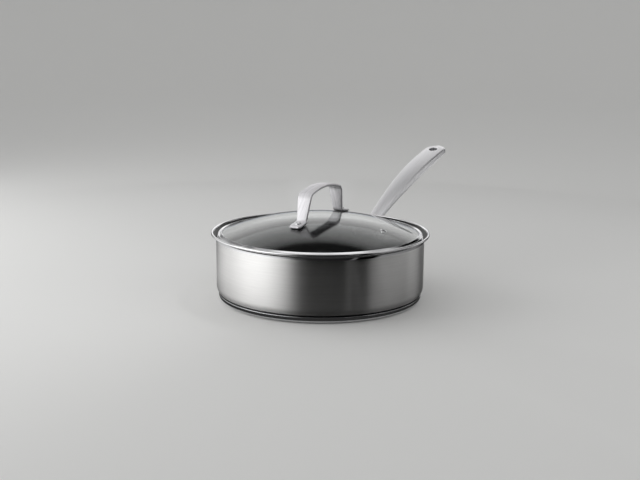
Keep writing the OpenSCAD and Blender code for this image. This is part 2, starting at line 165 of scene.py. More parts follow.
def brushed_metal(name, colour, roughness, lay="round", drag=0.7, grain=1.0, turn=0.25, seam=None):
    """Metal with brush lines. lay is "round" where the brushing runs round the pan, "along" where it follows
    the length of a piece, which is the U of its own UV map, and "none" on small polished pieces. seam gives the
    heights at which a band of painted shade starts and is full, in millimetres, and the share of the tone left
    there: it darkens the colour to stand in for the shadow in a groove between parts."""
    drawn_out, line_tone, line_gloss, hand_gloss = 0.02, 0.07, 0.10, 0.06
    made, tree, place = new_material(name)
    lines_at, shape = place, {}
    if lay == "round":
        at = apart(tree, place)
        lines_at = node(tree, "ShaderNodeCombineXYZ", {
            "X": at["X"]*drawn_out, "Y": at["Y"]*drawn_out,
            "Z": at["Z"] + distance(at["X"], at["Y"])}).outputs[0]
        shape["Tangent"] = node(tree, "ShaderNodeTangent", direction_type="RADIAL", axis="Z").outputs[0]
    elif lay == "along":
        lines_at = node(tree, "ShaderNodeMapping", {
            "Vector": node(tree, "ShaderNodeUVMap", uv_map="lay").outputs["UV"],
            "Scale": (drawn_out, 1.0, 1.0)}).outputs[0]
        shape["Tangent"] = node(tree, "ShaderNodeTangent", direction_type="UV_MAP", uv_map="lay").outputs[0]
    if lay != "none":
        shape.update({"Anisotropic": drag, "Anisotropic Rotation": turn})
    lines = noise(tree, lines_at, 2600.0, 4.0, 0.65)*0.6 + noise(tree, lines_at, 420.0, 3.0)*0.4
    handled = noise(tree, place, 38.0, 5.0, 0.6)
    tone = ranged(tree, lines, 1.0 - line_tone*grain, 1.0, 0.4, 0.6)
    # Painted shade: between the two heights the tone drops to the given share, standing in for the shadow in a
    # groove.
    if seam:
        start, full, share = seam
        tone = tone*ranged(tree, apart(tree, place)["Z"], 1.0, share, start/1000, full/1000)
    tint = node(tree, "ShaderNodeMix", {"Factor": 1.0, "A": (*colour, 1.0), "B": tone},
                data_type="RGBA", blend_type="MULTIPLY")
    dull = lines*(line_gloss*grain) + (roughness - line_gloss/2*grain)
    coat(tree, {"Base Color": tint.outputs["Result"], "Metallic": 1.0,
                "Roughness": dull + handled*hand_gloss - hand_gloss/2,
                "Normal": bumps(tree, lines, 0.25*grain, 0.00004), **shape})
    return made


def metres(sizes):
    """Named sizes in millimetres, turned into metres."""
    return {name: size/1000 for name, size in sizes.items()}


def new_tree(name, inputs):
    """A Geometry Nodes tree and its inputs by name: a word stands for points, and None for a material."""
    tree = bpy.data.node_groups.new(name, "GeometryNodeTree")
    for label, value in inputs.items():
        kind = {type(None): "Material", str: "Geometry", int: "Int", float: "Float"}[type(value)]
        tree.interface.new_socket(label, in_out="INPUT", socket_type="NodeSocket" + kind)
    tree.interface.new_socket("Piece", in_out="OUTPUT", socket_type="NodeSocketGeometry")
    return tree, amounts(node(tree, "NodeGroupInput"))


def line(tree, x0, z0, x1, z1, steps=1):
    """A straight part of an outline, from one radius and height to another."""
    start = node(tree, "ShaderNodeCombineXYZ", {"X": x0, "Y": z0}).outputs[0]
    end = node(tree, "ShaderNodeCombineXYZ", {"X": x1, "Y": z1}).outputs[0]
    drawn = node(tree, "GeometryNodeCurvePrimitiveLine", {"Start": start, "End": end}).outputs[0]
    return node(tree, "GeometryNodeResampleCurve", {"Curve": drawn, "Count": steps + 1}).outputs[0]


def arc(tree, x, z, radius, start, sweep, steps=10):
    """A round part of an outline, about a centre at a radius and height."""
    made = node(tree, "GeometryNodeCurveArc", {"Resolution": steps, "Radius": radius, "Start Angle": start,
                                              "Sweep Angle": sweep}, mode="RADIUS")
    centre = node(tree, "ShaderNodeCombineXYZ", {"X": x, "Y": z}).outputs[0]
    return node(tree, "GeometryNodeTransform", {"Geometry": made.outputs["Curve"],
                                                "Translation": centre}).outputs[0]


def turned(tree, outline, radius, steps):
    """The parts of an outline, turned round the Z axis and welded. An outline runs clockwise, with the radius
    to the right and the height up, and Curve to Mesh takes a profile's Y downwards, so it is turned over."""
    joined = node(tree, "GeometryNodeJoinGeometry")
    for part in outline:
        tree.links.new(part, joined.inputs[0])
    shift = node(tree, "ShaderNodeCombineXYZ", {"X": -radius}).outputs[0]
    profile = node(tree, "GeometryNodeTransform", {"Geometry": joined.outputs[0], "Translation": shift,
                                                   "Rotation": (math.pi, 0.0, 0.0)}).outputs[0]
    ring = node(tree, "GeometryNodeCurvePrimitiveCircle", {"Resolution": steps, "Radius": radius},
                mode="RADIUS").outputs["Curve"]
    swept = node(tree, "GeometryNodeCurveToMesh", {"Curve": ring, "Profile Curve": profile}).outputs[0]
    return node(tree, "GeometryNodeMergeByDistance", {"Geometry": swept, "Distance": 0.000002}).outputs[0]


def coated(tree, geometry, material, where=None):
    """A geometry in a material, all over or where a number is above 0."""
    chosen = {} if where is None else {"Selection": where}
    return node(tree, "GeometryNodeSetMaterial", {"Geometry": geometry, "Material": material,
                                                  **chosen}).outputs[0]


def finished(tree, geometry, *coats):
    """Ends a tree: its instances are made real, and coats of [material, where] go over each other."""
    whole = node(tree, "GeometryNodeRealizeInstances", {"Geometry": geometry}).outputs[0]
    for layer in coats:
        whole = coated(tree, whole, *layer)
    node(tree, "NodeGroupOutput", {"Piece": whole})


def grown(name, tree, values, start=None):
    """The plain mesh object that a tree makes from these values, and from the points of a start mesh."""
    maker = bpy.data.objects.new(name, start or bpy.data.meshes.new(name))
    bpy.context.scene.collection.objects.link(maker)
    modifier = maker.modifiers.new("tree", "NODES")
    modifier.node_group = tree
    for item in tree.interface.items_tree:
        if item.in_out == "INPUT" and item.socket_type != "NodeSocketGeometry":
            modifier[item.identifier] = values[item.name]
    maker.update_tag()
    bpy.context.view_layer.update()
    mesh = bpy.data.meshes.new_from_object(maker.evaluated_get(bpy.context.evaluated_depsgraph_get()))
    maker.modifiers.remove(modifier)
    maker.data = mesh
    return maker


def smooth(piece, angle=30):
    """Shades a piece smoothly, apart from edges that are sharper than the angle."""
    piece.data.shade_smooth()
    piece.data.set_sharp_from_angle(angle=math.radians(angle))
    return piece


vessel_sizes = {**metres({"Side radius": side_r, "Rim height": rim_z, "Wall": wall_t, "Floor height": floor_z,
                          "Corner radius": corner_r, "Polished foot": polished_foot_h,
                          "Flare radius": flare_r, "Edge radius": edge_d/2}),
                "Flare angle": math.radians(flare_angle), "Flare bend": math.radians(flare_bend),
                "Steps round": steps_round}
tree, size = new_tree("Drawn vessel", {**vessel_sizes, "Brushed": None, "Polished": None, "Lining": None})
side, wall, corner, floor = (size[name] for name in ("Side radius", "Wall", "Corner radius", "Floor height"))
flare, edge = size["Flare radius"], size["Edge radius"]
corner_x, corner_z = side - corner, floor + corner
flare_end, bend_end = math.pi - size["Flare angle"], math.pi - size["Flare bend"]
flare_in, flare_mid = flare + wall, flare + wall*0.5
edge_z = size["Rim height"] - edge
flare_x, flare_z = side + flare, edge_z - flare_mid*flare_end.sine()
edge_x = flare_x + flare_mid*flare_end.cosine()
edge_open = (wall*0.5/edge).arcsine()
outline = [
    line(tree, 0.0, floor + wall, corner_x, floor + wall),
    arc(tree, corner_x, corner_z, corner - wall, -math.pi/2, math.pi/2),
    line(tree, side - wall, corner_z, side - wall, flare_z),
    arc(tree, flare_x, flare_z, flare_in, math.pi, -size["Flare bend"]),
    line(tree, flare_x + flare_in*bend_end.cosine(), flare_z + flare_in*bend_end.sine(),
         flare_x + flare_in*flare_end.cosine(), flare_z + flare_in*flare_end.sine(), 8),
    arc(tree, edge_x, edge_z, edge, flare_end + math.pi/2 - edge_open, edge_open*2.0 - 2*math.pi, 20),
    arc(tree, flare_x, flare_z, flare, flare_end, size["Flare angle"], 16),
    line(tree, side, flare_z, side, corner_z),
    arc(tree, corner_x, corner_z, corner, 0.0, -math.pi/2, 14),
    line(tree, corner_x, floor, 0.0, floor)]
bowl = turned(tree, outline, side, size["Steps round"])
at = apart(tree, node(tree, "GeometryNodeInputPosition").outputs[0])
from_axis = distance(at["X"], at["Y"])
off_corner = distance((corner_z - at["Z"]).at_least(0.0), (from_axis - corner_x).at_least(0.0))
off_bend = distance(from_axis - flare_x, at["Z"] - flare_z)
in_flare_part = at["Z"] > flare_z
inside_bowl = (at["Z"] > floor + wall*0.5)*(from_axis < side - wall*0.5)*(off_corner < corner - wall*0.5)
inside_flare = in_flare_part*(from_axis < edge_x - edge)*(off_bend > flare + wall*0.25)
finished(tree, bowl, (size["Brushed"],),
         (size["Polished"], in_flare_part.at_least(at["Z"] < floor + size["Polished foot"])),
         (size["Lining"], inside_bowl.at_least(inside_flare)))

side_steel = brushed_metal("side steel", (0.74, 0.735, 0.725), 0.38, drag=1.0)
rim_steel = brushed_metal("rim steel", (0.74, 0.74, 0.75), 0.12, drag=0.3, grain=0.3)
lining, paint, place = new_material("dark lining")
pores = noise(paint, place, 1800.0, 3.0)
coat(paint, {"Base Color": ranged(paint, pores, 0.006, 0.03, 0.62, 0.74), "Roughness": 0.42,
             "Specular IOR Level": 0.2, "Normal": bumps(paint, pores, 0.2, 0.00005)})
vessel = smooth(grown("vessel", tree, {**vessel_sizes, "Brushed": side_steel, "Polished": rim_steel,
                                       "Lining": lining}))
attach(vessel, "pan")
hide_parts("pan_body")

# The capsule base: an aluminium disc that carries the heat, closed under the floor by a pressed steel cap. The
# cap's foot is rounded, and only its side shows below the vessel. Between the two, painted shade darkens the
# aluminium's top edge, standing in for the shadow in the groove there.
cap_r, cap_h, cap_t, foot_r = 118.5, 7.5, 0.8, 6.0
# Painted shade: the core aluminium darkens towards its top edge between these heights, in millimetres, to this
# share of its tone, standing in for the shadow where the vessel meets the cap.
painted_shade_start, painted_shade_full, painted_shade_tone = 7.0, 7.3, 0.12


def finish_cad(name, material):
    """Keeps a CAD node as it is, in a new material."""
    cad_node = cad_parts[name]
    cad_node.data.materials.clear()
    cad_node.data.materials.append(material)


finish_cad("base_core", brushed_metal("core aluminium", (0.80, 0.81, 0.82), 0.46, grain=0.8,
                                      seam=(painted_shade_start, painted_shade_full, painted_shade_tone)))
cap_sizes = {**metres({"Radius": cap_r, "Height": cap_h, "Sheet": cap_t, "Foot radius": foot_r}),
             "Steps round": steps_round}
tree, size = new_tree("Pressed cap", {**cap_sizes, "Steel": None})
outer, sheet, foot = size["Radius"], size["Sheet"], size["Foot radius"]
foot_x, half_sheet = outer - foot, sheet*0.5
lip_x, lip_z = outer - half_sheet, size["Height"] - half_sheet
outline = [
    line(tree, 0.0, sheet, foot_x, sheet),
    arc(tree, foot_x, foot, foot - sheet, -math.pi/2, math.pi/2),
    line(tree, outer - sheet, foot, outer - sheet, lip_z),
    arc(tree, lip_x, lip_z, half_sheet, math.pi, -math.pi, 12),
    line(tree, outer, lip_z, outer, foot),
    arc(tree, foot_x, foot, foot, 0.0, -math.pi/2, 14),
    line(tree, foot_x, 0.0, 0.0, 0.0)]
finished(tree, turned(tree, outline, outer, size["Steps round"]), (size["Steel"],))
base_steel = brushed_metal("base steel", (0.68, 0.68, 0.69), 0.14, drag=0.3, grain=0.6)
cap = smooth(grown("cap", tree, {**cap_sizes, "Steel": base_steel}))
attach(cap, "pan")
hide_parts("base_cap")

# The handle bracket: a cast steel pad, curved to the vessel's side, with a neck that narrows into the handle.
# Its tang reaches in between the two shells. It is satin finished.
pad_w, pad_h, pad_corner_r, pad_t, pad_z, pad_gap = 48.0, 25.0, 10.0, 2.6, 57.0, 0.05
pad_edge = [(0.9, 0.0), (0.55, 0.08), (0.2, 0.32), (0.0, 0.9)]
neck_lift, neck_root_w, neck_root_h, neck_edge_r, neck_steps = 4.0, 21.0, 15.0, 3.0, 24
mouth_x, mouth_z, handle_len, rise_mouth, rise_tip = 135.0, 74.0, 214.5, 29.0, 10.5
handle_neck_w, handle_w, handle_neck_h, handle_swell, widest_at, swell_turn = 16.3, 29.6, 8.6, 4.1, 0.9, 150.0
tang_len, tang_inset, tang_edge_r, tang_steps = 26.0, 1.8, 1.0, 4
tang_h_inset = 3.0


def rise_at(s):
    """The handle's rise, in radians, at a share s of its length."""
    return math.radians(rise_mouth + (rise_tip - rise_mouth)*s)


def width_at(s):
    """The handle's width at s: narrow at the neck and broad towards the tip."""
    return handle_neck_w + (handle_w - handle_neck_w)*math.sin(math.pi/2*min(1.0, s/widest_at))


def depth_at(s):
    """The handle's depth at s, which swells in the middle."""
    return handle_neck_h + handle_swell*math.sin(math.radians(swell_turn*s))


def axis_at(s):
    """The middle of the handle's section: its top follows an arc, and the middle is half a depth under it."""
    bend_r = handle_len/(rise_at(0) - rise_at(1))
    rise, half = rise_at(s), depth_at(s)/2
    return (mouth_x + bend_r*(math.sin(rise_at(0)) - math.sin(rise)) + half*math.sin(rise),
            mouth_z + bend_r*(math.cos(rise) - math.cos(rise_at(0))) - half*math.cos(rise))


def quarter_turn(steps):
    return [math.pi/2*i/steps for i in range(steps + 1)]


def round_box(w, h, r, steps=8):
    """A rounded rectangle's points, counterclockwise."""
    return [(x*(w/2 - r) + r*math.cos(a + turn), z*(h/2 - r) + r*math.sin(a + turn))
            for x, z, turn in ((1, 1, 0.0), (-1, 1, math.pi/2), (-1, -1, math.pi), (1, -1, -math.pi/2))
            for a in quarter_turn(steps)]


def loft(name, rings, material):
    """A closed skin through rings of points, in millimetres. Its UV map runs along the rings' row in U and
    round each ring in V, in metres."""
    mesh = bpy.data.meshes.new(name)
    shape = bmesh.new()
    lay = shape.loops.layers.uv.new("lay")
    rows = [[shape.verts.new(Vector(p)/1000) for p in ring] for ring in rings]
    count = len(rows[0])
    along = [0.0]
    for here, there in zip(rows, rows[1:]):
        along.append(along[-1] + sum((a.co - b.co).length for a, b in zip(here, there))/count)
    for k, (row, following) in enumerate(zip(rows, rows[1:])):
        round_way = 0.0
        for j in range(count):
            n = (j + 1)%count
            step = (row[n].co - row[j].co).length
            face = shape.faces.new((row[j], row[n], following[n], following[j]))
            places = ((along[k], round_way), (along[k], round_way + step),
                      (along[k + 1], round_way + step), (along[k + 1], round_way))
            for loop, uv in zip(face.loops, places):
                loop[lay].uv = uv
            round_way += step
    shape.faces.new(rows[0])
    shape.faces.new(list(reversed(rows[-1])))
    bmesh.ops.recalc_face_normals(shape, faces=shape.faces)
    shape.to_mesh(mesh)
    shape.free()
    mesh.materials.append(material)
    made = bpy.data.objects.new(name, mesh)
    bpy.context.scene.collection.objects.link(made)
    return made


def on_side(radius, points):
    """Points [across, height] laid on the vessel's side."""
    return [(radius*math.cos(y/side_r), radius*math.sin(y/side_r), pad_z + z) for y, z in points]


def upright(middle, rise, points):
    """Points [across, up] round a middle [along, height], in a section that leans back by the rise."""
    x, z = middle
    return [(x - up*math.sin(rise), across, z + up*math.cos(rise)) for across, up in points]


def in_section(s, points):
    """Points [across, up] in the handle's section at s."""
    return upright(axis_at(s), rise_at(s), points)


satin_steel = brushed_metal("satin steel", (0.86, 0.855, 0.87), 0.46, lay="along", drag=0.5, grain=0.9)
face_inset = pad_edge[-1][1]
layers = [(pad_gap, 0.0, share) for share in (0.1, 0.6, 1.0)]
layers += [(pad_t - under, inset, 1.0) for under, inset in pad_edge]
layers += [(pad_t, face_inset, share) for share in (0.8, 0.5, 0.1)]
pad_rings = []
for height, inset, share in layers:
    flat = round_box(pad_w - 2*inset, pad_h - 2*inset, pad_corner_r - inset)
    pad_rings.append(on_side(side_r + height, [(y*share, z*share) for y, z in flat]))
pad = smooth(loft("handle_pad", pad_rings, satin_steel), 40)
root = (side_r + pad_t/2, pad_z + neck_lift)
neck_rings = []
for i in range(neck_steps + 1):
    share = i/neck_steps
    spread = (1 - share)**2
    middle = [start + (end - start)*share for start, end in zip(root, axis_at(0))]
    section = round_box(handle_neck_w + (neck_root_w - handle_neck_w)*spread,
                        handle_neck_h + (neck_root_h - handle_neck_h)*spread, neck_edge_r)
    neck_rings.append(upright(middle, rise_at(0)*share, section))
for i in range(tang_steps + 1):
    share = tang_len/handle_len*i/tang_steps
    neck_rings.append(in_section(share, round_box(width_at(share) - 2*tang_inset,
                                                  depth_at(share) - 2*tang_h_inset, tang_edge_r)))
neck = smooth(loft("handle_neck", neck_rings, satin_steel), 40)
for piece in (pad, neck):
    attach(piece, "pan")
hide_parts("handle_bracket")

# The handle rivets: two solid steel rivets through the pad and the vessel's side, with a domed head outside and
# a wider, flatter one inside.
rivet_d, rivet_head_d, rivet_tail_d, rivet_dome_h = 5.0, 9.0, 10.0, 1.8
rivet_pitch, rivet_steps, fit_gap = 34.0, 48, 0.1
rivet_sizes = {**metres({"Shank diameter": rivet_d, "Grip": wall_t + pad_t + 3*fit_gap,
                         "Head diameter": rivet_head_d, "Head height": rivet_dome_h,
                         "Tail diameter": rivet_tail_d, "Tail height": rivet_dome_h}),
               "Steps round": rivet_steps}
rivet_tree, size = new_tree("Domed rivets", {"Places": "points", **rivet_sizes, "Steel": None,
                                             "Tail finish": None})


def dome(diameter, height):
    """The radius of a domed head, and half of the angle that it spans."""
    half = diameter*0.5
    radius = (half*half + height*height)/(height*2.0)
    return radius, (half/radius).arcsine()


head_round, head_open = dome(size["Head diameter"], size["Head height"])
tail_round, tail_open = dome(size["Tail diameter"], size["Tail height"])
below, shank = -size["Grip"], size["Shank diameter"]*0.5
outline = [
    arc(rivet_tree, 0.0, size["Head height"] - head_round, head_round, math.pi/2, -head_open, 12),
    line(rivet_tree, size["Head diameter"]*0.5, 0.0, shank, 0.0),
    line(rivet_tree, shank, 0.0, shank, below),
    line(rivet_tree, shank, below, size["Tail diameter"]*0.5, below),
    arc(rivet_tree, 0.0, below + tail_round - size["Tail height"], tail_round, tail_open - math.pi/2,
        -tail_open, 12)]
rivet = turned(rivet_tree, outline, size["Head diameter"], size["Steps round"])
up = apart(rivet_tree, node(rivet_tree, "GeometryNodeInputPosition").outputs[0])["Z"]
rivet = coated(rivet_tree, rivet, size["Steel"])
rivet = coated(rivet_tree, rivet, size["Tail finish"], up < below - 0.00001)
out = node(rivet_tree, "GeometryNodeInputNamedAttribute", {"Name": "out"}, data_type="FLOAT_VECTOR")
facing = node(rivet_tree, "FunctionNodeAlignRotationToVector", {"Vector": out.outputs["Attribute"]},
              axis="Z").outputs[0]
placed = node(rivet_tree, "GeometryNodeInstanceOnPoints", {"Points": size["Places"], "Instance": rivet,
                                                           "Rotation": facing}).outputs[0]
finished(rivet_tree, placed)


def rivets(name, sizes, places, tail_finish):
    """Rivets from the tree, at places that each give a point in millimetres and the way that the head faces."""
    starts = bpy.data.meshes.new(name)
    starts.from_pydata([Vector(point)/1000 for point, _ in places], [], [])
    out = starts.attributes.new("out", "FLOAT_VECTOR", "POINT")
    for item, (_, facing) in zip(out.data, places):
        item.vector = facing
    return smooth(grown(name, rivet_tree, {**sizes, "Steel": rivet_steel, "Tail finish": tail_finish}, starts))


rivet_steel = brushed_metal("rivet steel", (0.72, 0.72, 0.73), 0.20, lay="none", grain=0.5)
places = []
for hand in (-1, 1):
    turn = hand*math.asin(rivet_pitch/2/side_r)
    way = Vector((math.cos(turn), math.sin(turn), 0.0))
    places.append((way*(side_r + pad_t + fit_gap) + Vector((0.0, 0.0, pad_z)), way))
handle_rivets = rivets("pan_rivets", rivet_sizes, places, lining)
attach(handle_rivets, "pan")
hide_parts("handle_rivets")

# The long handle: two pressed steel shells, welded edge to edge and satin finished along their length. A sleeve
# lines the hanging hole near the tip.
shell_t, tip_round, tip_blunt, handle_crown, handle_belly = 1.2, 17.0, 0.2, 0.9, 1.2
upper_edge_r, lower_edge_r, seam = 3.0, 4.0, 0.18
hang_from_tip, hang_d, sleeve_t = 21.0, 12.0, 1.0
straight_steps, tip_steps, tip_turn = 60, 16, math.radians(86)


def half_section(w, h, r, crown, steps=8):
    """Half of the handle's section, from the seam on one side over the top to the seam on the other."""
    c = min(r, 0.9*(h - crown), 0.45*w)
    right = [(w/2 - c + c*math.cos(a), h - crown - c + c*math.sin(a)) for a in quarter_turn(steps)]
    over = [(k*(w/2 - c), h - crown*k*k) for k in (0.85, 0.65, 0.4, 0.2, 0.0, -0.2, -0.4, -0.65, -0.85)]
    left = [(-x, z) for x, z in reversed(right)]
    wall_foot = min(seam, 0.3*h)
    return [(w/2 - seam, 0.0), (w/2, wall_foot)] + right + over + left + [(-w/2, wall_foot),
                                                                          (seam - w/2, 0.0)]


def shell(name, hand, edge_r, crown):
    """One shell: hand is 1 for the upper one and -1 for the lower one."""
    tip = tip_round/handle_len
    straight = [(i/straight_steps*(1 - tip), 1.0, 1.0) for i in range(straight_steps + 1)]
    rounded = [(1 - tip*(1 - math.sin(a)), math.cos(a), math.cos(a)**tip_blunt)
               for a in (tip_turn*i/tip_steps for i in range(1, tip_steps + 1))]
    rings = []
    for s, w_share, h_share in straight + rounded:
        w, h = width_at(s)*w_share, depth_at(s)/2*h_share
        outer = half_section(w, h, edge_r, crown)
        in_w, in_h = max(0.05, 1 - 2*shell_t/w), max(0.05, 1 - shell_t/h)*w_share
        inner = [(x*in_w, z*in_h) for x, z in outer]
        rings.append(in_section(s, [(x, hand*z) for x, z in outer + inner[::-1]]))
    return loft(name, rings, satin_steel)


hole_at, hole_r = 1 - hang_from_tip/handle_len, hang_d/2 + sleeve_t + fit_gap
cutter_mesh = bpy.data.meshes.new("hole")
shape = bmesh.new()
bmesh.ops.create_cone(shape, cap_ends=True, segments=96, radius1=hole_r/1000, radius2=hole_r/1000, depth=0.08)
shape.to_mesh(cutter_mesh)
shape.free()
cutter = bpy.data.objects.new("hole", cutter_mesh)
cutter.location = Vector((axis_at(hole_at)[0], 0.0, axis_at(hole_at)[1]))/1000
cutter.rotation_euler = (0.0, -rise_at(hole_at), 0.0)
bpy.context.scene.collection.objects.link(cutter)
for name, cad_name, hand, edge_r, crown in [
        ("upper_shell", "handle_upper_shell", 1, upper_edge_r, handle_crown),
        ("lower_shell", "handle_lower_shell", -1, lower_edge_r, handle_belly)]:
    piece = shell(name, hand, edge_r, crown)
    cut = piece.modifiers.new("hole", "BOOLEAN")
    cut.object, cut.operation, cut.solver = cutter, "DIFFERENCE", "EXACT"
    bpy.context.view_layer.update()
    pierced = bpy.data.meshes.new_from_object(piece.evaluated_get(bpy.context.evaluated_depsgraph_get()))
    piece.modifiers.clear()
    piece.data = pierced
    smooth(piece, 35)
    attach(piece, "pan")
    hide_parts(cad_name)
bpy.data.objects.remove(cutter)
finish_cad("hanging_sleeve", rivet_steel)

# The lid's glass: a dome of tempered glass, 4 mm thick, pressed hot and then pierced for the two rivets of its
# handle and for the steam vent.
glass, paint, place = new_material("lid glass")
wiped = noise(paint, place, 16.0, 6.0, 0.7)
coat(paint, {"Base Color": (0.90, 0.93, 0.92, 1.0), "Transmission Weight": 1.0, "IOR": 1.5,
             "Roughness": ranged(paint, wiped, 0.0, 0.07, 0.45, 0.75)})
finish_cad("lid_glass", glass)

# The lid's band: one strip of steel, rolled round the edge of the glass, with a bead that rests on the vessel's
# rim and a skirt that centres the lid. It is polished.
dome_r, dome_z, glass_r, glass_t = 321.051, -222.777, 116.8, 4.0
lip_w, lip_round, band_t, band_slope, skirt_bottom = 2.5, 0.35, 0.8, 38.5, 63.775
valley_r, valley_z, ridge_r, ridge_z, ridge_w = 117.6, 75.95, 118.4, 76.95, 0.22
bead_at, bead_z, bead_r, bead_side = 118.9, 75.474, 1.8, -10.0


def dome_height(radius, above):
    """The height of a dome that lies this far above the glass, at a radius."""
    return dome_z + math.sqrt((dome_r + above)**2 - radius**2)


lip_r, web_r, glass_under = glass_r - lip_w, glass_r + fit_gap, -glass_t - fit_gap
band_sizes = {**metres({"Lip radius": lip_r, "Lip top": dome_height(lip_r, band_t + fit_gap),
                        "Lip underside": dome_height(lip_r, fit_gap), "Lip rounding": lip_round,
                        "Valley": valley_r, "Valley height": valley_z, "Ridge": ridge_r,
                        "Ridge height": ridge_z, "Ridge width": ridge_w, "Bead at": bead_at,
                        "Bead height": bead_z, "Bead radius": bead_r, "Skirt bottom": skirt_bottom,
                        "Sheet": band_t, "Web radius": web_r, "Channel top": dome_height(web_r, fit_gap),
                        "Channel floor": dome_height(web_r, glass_under),
                        "Lower lip top": dome_height(lip_r, glass_under)}),
              "Slope": math.radians(band_slope), "Bead side": math.radians(bead_side),
              "Steps round": steps_round}
tree, size = new_tree("Drawn band", {**band_sizes, "Steel": None})
lip, sheet, web, skirt_end = (size[name] for name in ("Lip radius", "Sheet", "Web radius", "Skirt bottom"))
lip_low, web_top, web_low, low_top = (size[name] for name in (
    "Lip underside", "Channel top", "Channel floor", "Lower lip top"))
rounding, slope = size["Lip rounding"], size["Slope"]
valley_x, valley_y, ridge_x, ridge_y = (size[name] for name in (
    "Valley", "Valley height", "Ridge", "Ridge height"))
bead_x, bead_y, bead, side_way = (size[name] for name in (
    "Bead at", "Bead height", "Bead radius", "Bead side"))
lip_x, lip_y = lip + rounding, size["Lip top"] - rounding
ridge_end, skirt_in = ridge_x + size["Ridge width"], bead_x - sheet
side_x, side_y = bead_x + bead*side_way.cosine(), bead_y + bead*side_way.sine()
outline = [
    line(tree, lip, lip_low, lip, lip_y),
    arc(tree, lip_x, lip_y, rounding, math.pi, -math.pi/2 - slope, 8),
    line(tree, lip_x + rounding*slope.sine(), lip_y + rounding*slope.cosine(), valley_x, valley_y, 8),
    line(tree, valley_x, valley_y, ridge_x, ridge_y, 4),
    line(tree, ridge_x, ridge_y, ridge_end, ridge_y),
    line(tree, ridge_end, ridge_y, side_x, side_y, 4),
    arc(tree, bead_x, bead_y, bead, side_way, -math.pi/2 - side_way, 12),
    line(tree, bead_x, bead_y - bead, bead_x, skirt_end),
    line(tree, bead_x, skirt_end, skirt_in, skirt_end),
    line(tree, skirt_in, skirt_end, skirt_in, web_low - sheet),
    line(tree, skirt_in, web_low - sheet, web, web_low - sheet),
    line(tree, web, web_low - sheet, lip, low_top - sheet),
    line(tree, lip, low_top - sheet, lip, low_top),
    line(tree, lip, low_top, web, web_low),
    line(tree, web, web_low, web, web_top),
    line(tree, web, web_top, lip, lip_low)]
finished(tree, turned(tree, outline, web, size["Steps round"]), (size["Steel"],))
band = smooth(grown("band", tree, {**band_sizes, "Steel": rim_steel}))
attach(band, "lid")
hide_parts("lid_band")

# The lid's handle: a strap of 2.5 mm steel, cut with waisted legs, bent over an arch and finished with brush
# lines along its length. Its two feet lie on rubber on the glass.
strap_t, strap_w, strap_leg_w, strap_edge_r, foot_w, foot_corner_r = 2.5, 17.0, 12.5, 1.0, 14.0, 2.5
strap_top_len, strap_foot_span, strap_arch_r, upper_bend_r, lower_bend_r = 78.0, 94.0, 130.0, 9.0, 3.5
strap_turn, foot_end, arch_z, gasket_t, lid_rivet_pitch = math.radians(3.5), 9.5, 132.524, 0.8, 111.0
corner_steps, low_steps, leg_steps, high_steps, arch_steps = 8, 12, 14, 16, 16
foot_tilt = math.asin(lid_rivet_pitch/2/dome_r)
foot_mid_r = dome_r + gasket_t + strap_t/2
foot_mid = (foot_mid_r*math.sin(foot_tilt), dome_z + foot_mid_r*math.cos(foot_tilt))
foot_tip = (foot_mid[0] + foot_end*math.cos(foot_tilt), foot_mid[1] - foot_end*math.sin(foot_tilt))
half_top, half_span = strap_top_len/2, strap_foot_span/2
corner_top = (half_top, arch_z - strap_arch_r + math.sqrt(strap_arch_r**2 - half_top**2))
corner_foot = (half_span, foot_mid[1] + (foot_mid[0] - half_span)*math.tan(foot_tilt))
leg_way = math.atan2(corner_top[1] - corner_foot[1], corner_top[0] - corner_foot[0])
foot_way, arch_way = math.pi - foot_tilt, math.pi - math.asin(half_top/strap_arch_r)


def bent(corner, way_in, way_out, radius, steps):
    """The strap's middle line round a corner: points [along, up, heading]."""
    hand = 1 if way_out > way_in else -1
    reach = radius*math.tan(abs(way_out - way_in)/2)
    start = (corner[0] - reach*math.cos(way_in), corner[1] - reach*math.sin(way_in))
    centre = (start[0] - hand*radius*math.sin(way_in), start[1] + hand*radius*math.cos(way_in))
    ways = [way_in + (way_out - way_in)*i/steps for i in range(steps + 1)]
    return [(centre[0] + hand*radius*math.sin(way), centre[1] - hand*radius*math.cos(way), way)
            for way in ways]


def between(start, end, steps):
    """Points between two points of the middle line, both left out."""
    return [tuple(a + (b - a)*i/steps for a, b in zip(start, end)) for i in range(1, steps)]


low_bend = bent(corner_foot, foot_way, leg_way, lower_bend_r, low_steps)
high_bend = bent(corner_top, leg_way, arch_way, upper_bend_r, high_steps)
half_line = []
for i in range(corner_steps + 1):
    corner_turn = math.pi/2*(i + 0.3)/(corner_steps + 0.3)
    back_off = foot_corner_r*(1 - math.cos(corner_turn))
    half_line.append((foot_tip[0] - back_off*math.cos(foot_tilt), foot_tip[1] + back_off*math.sin(foot_tilt),
                      foot_way, foot_w/2 - foot_corner_r + foot_corner_r*math.sin(corner_turn)))
half_line += [(*p, foot_w/2) for p in between((*half_line[-1][:2], foot_way), low_bend[0], 4)]
half_line += [(*p, foot_w/2 + (strap_leg_w - foot_w)/2*i/low_steps) for i, p in enumerate(low_bend)]
leg = between(low_bend[-1], high_bend[0], leg_steps)
half_line += [(*p, strap_leg_w/2 + (strap_w - strap_leg_w)/2*i/leg_steps) for i, p in enumerate(leg, 1)]
half_line += [(*p, strap_w/2) for p in high_bend]
arch_start = math.asin(high_bend[-1][0]/strap_arch_r)
half_line += [(strap_arch_r*math.sin(a), arch_z - strap_arch_r*(1 - math.cos(a)), math.pi - a, strap_w/2)
              for a in (arch_start*(1 - i/arch_steps) for i in range(1, arch_steps + 1))]
whole_line = half_line + [(-x, z, 2*math.pi - way, across) for x, z, way, across in reversed(half_line[:-1])]
strap_rings = []
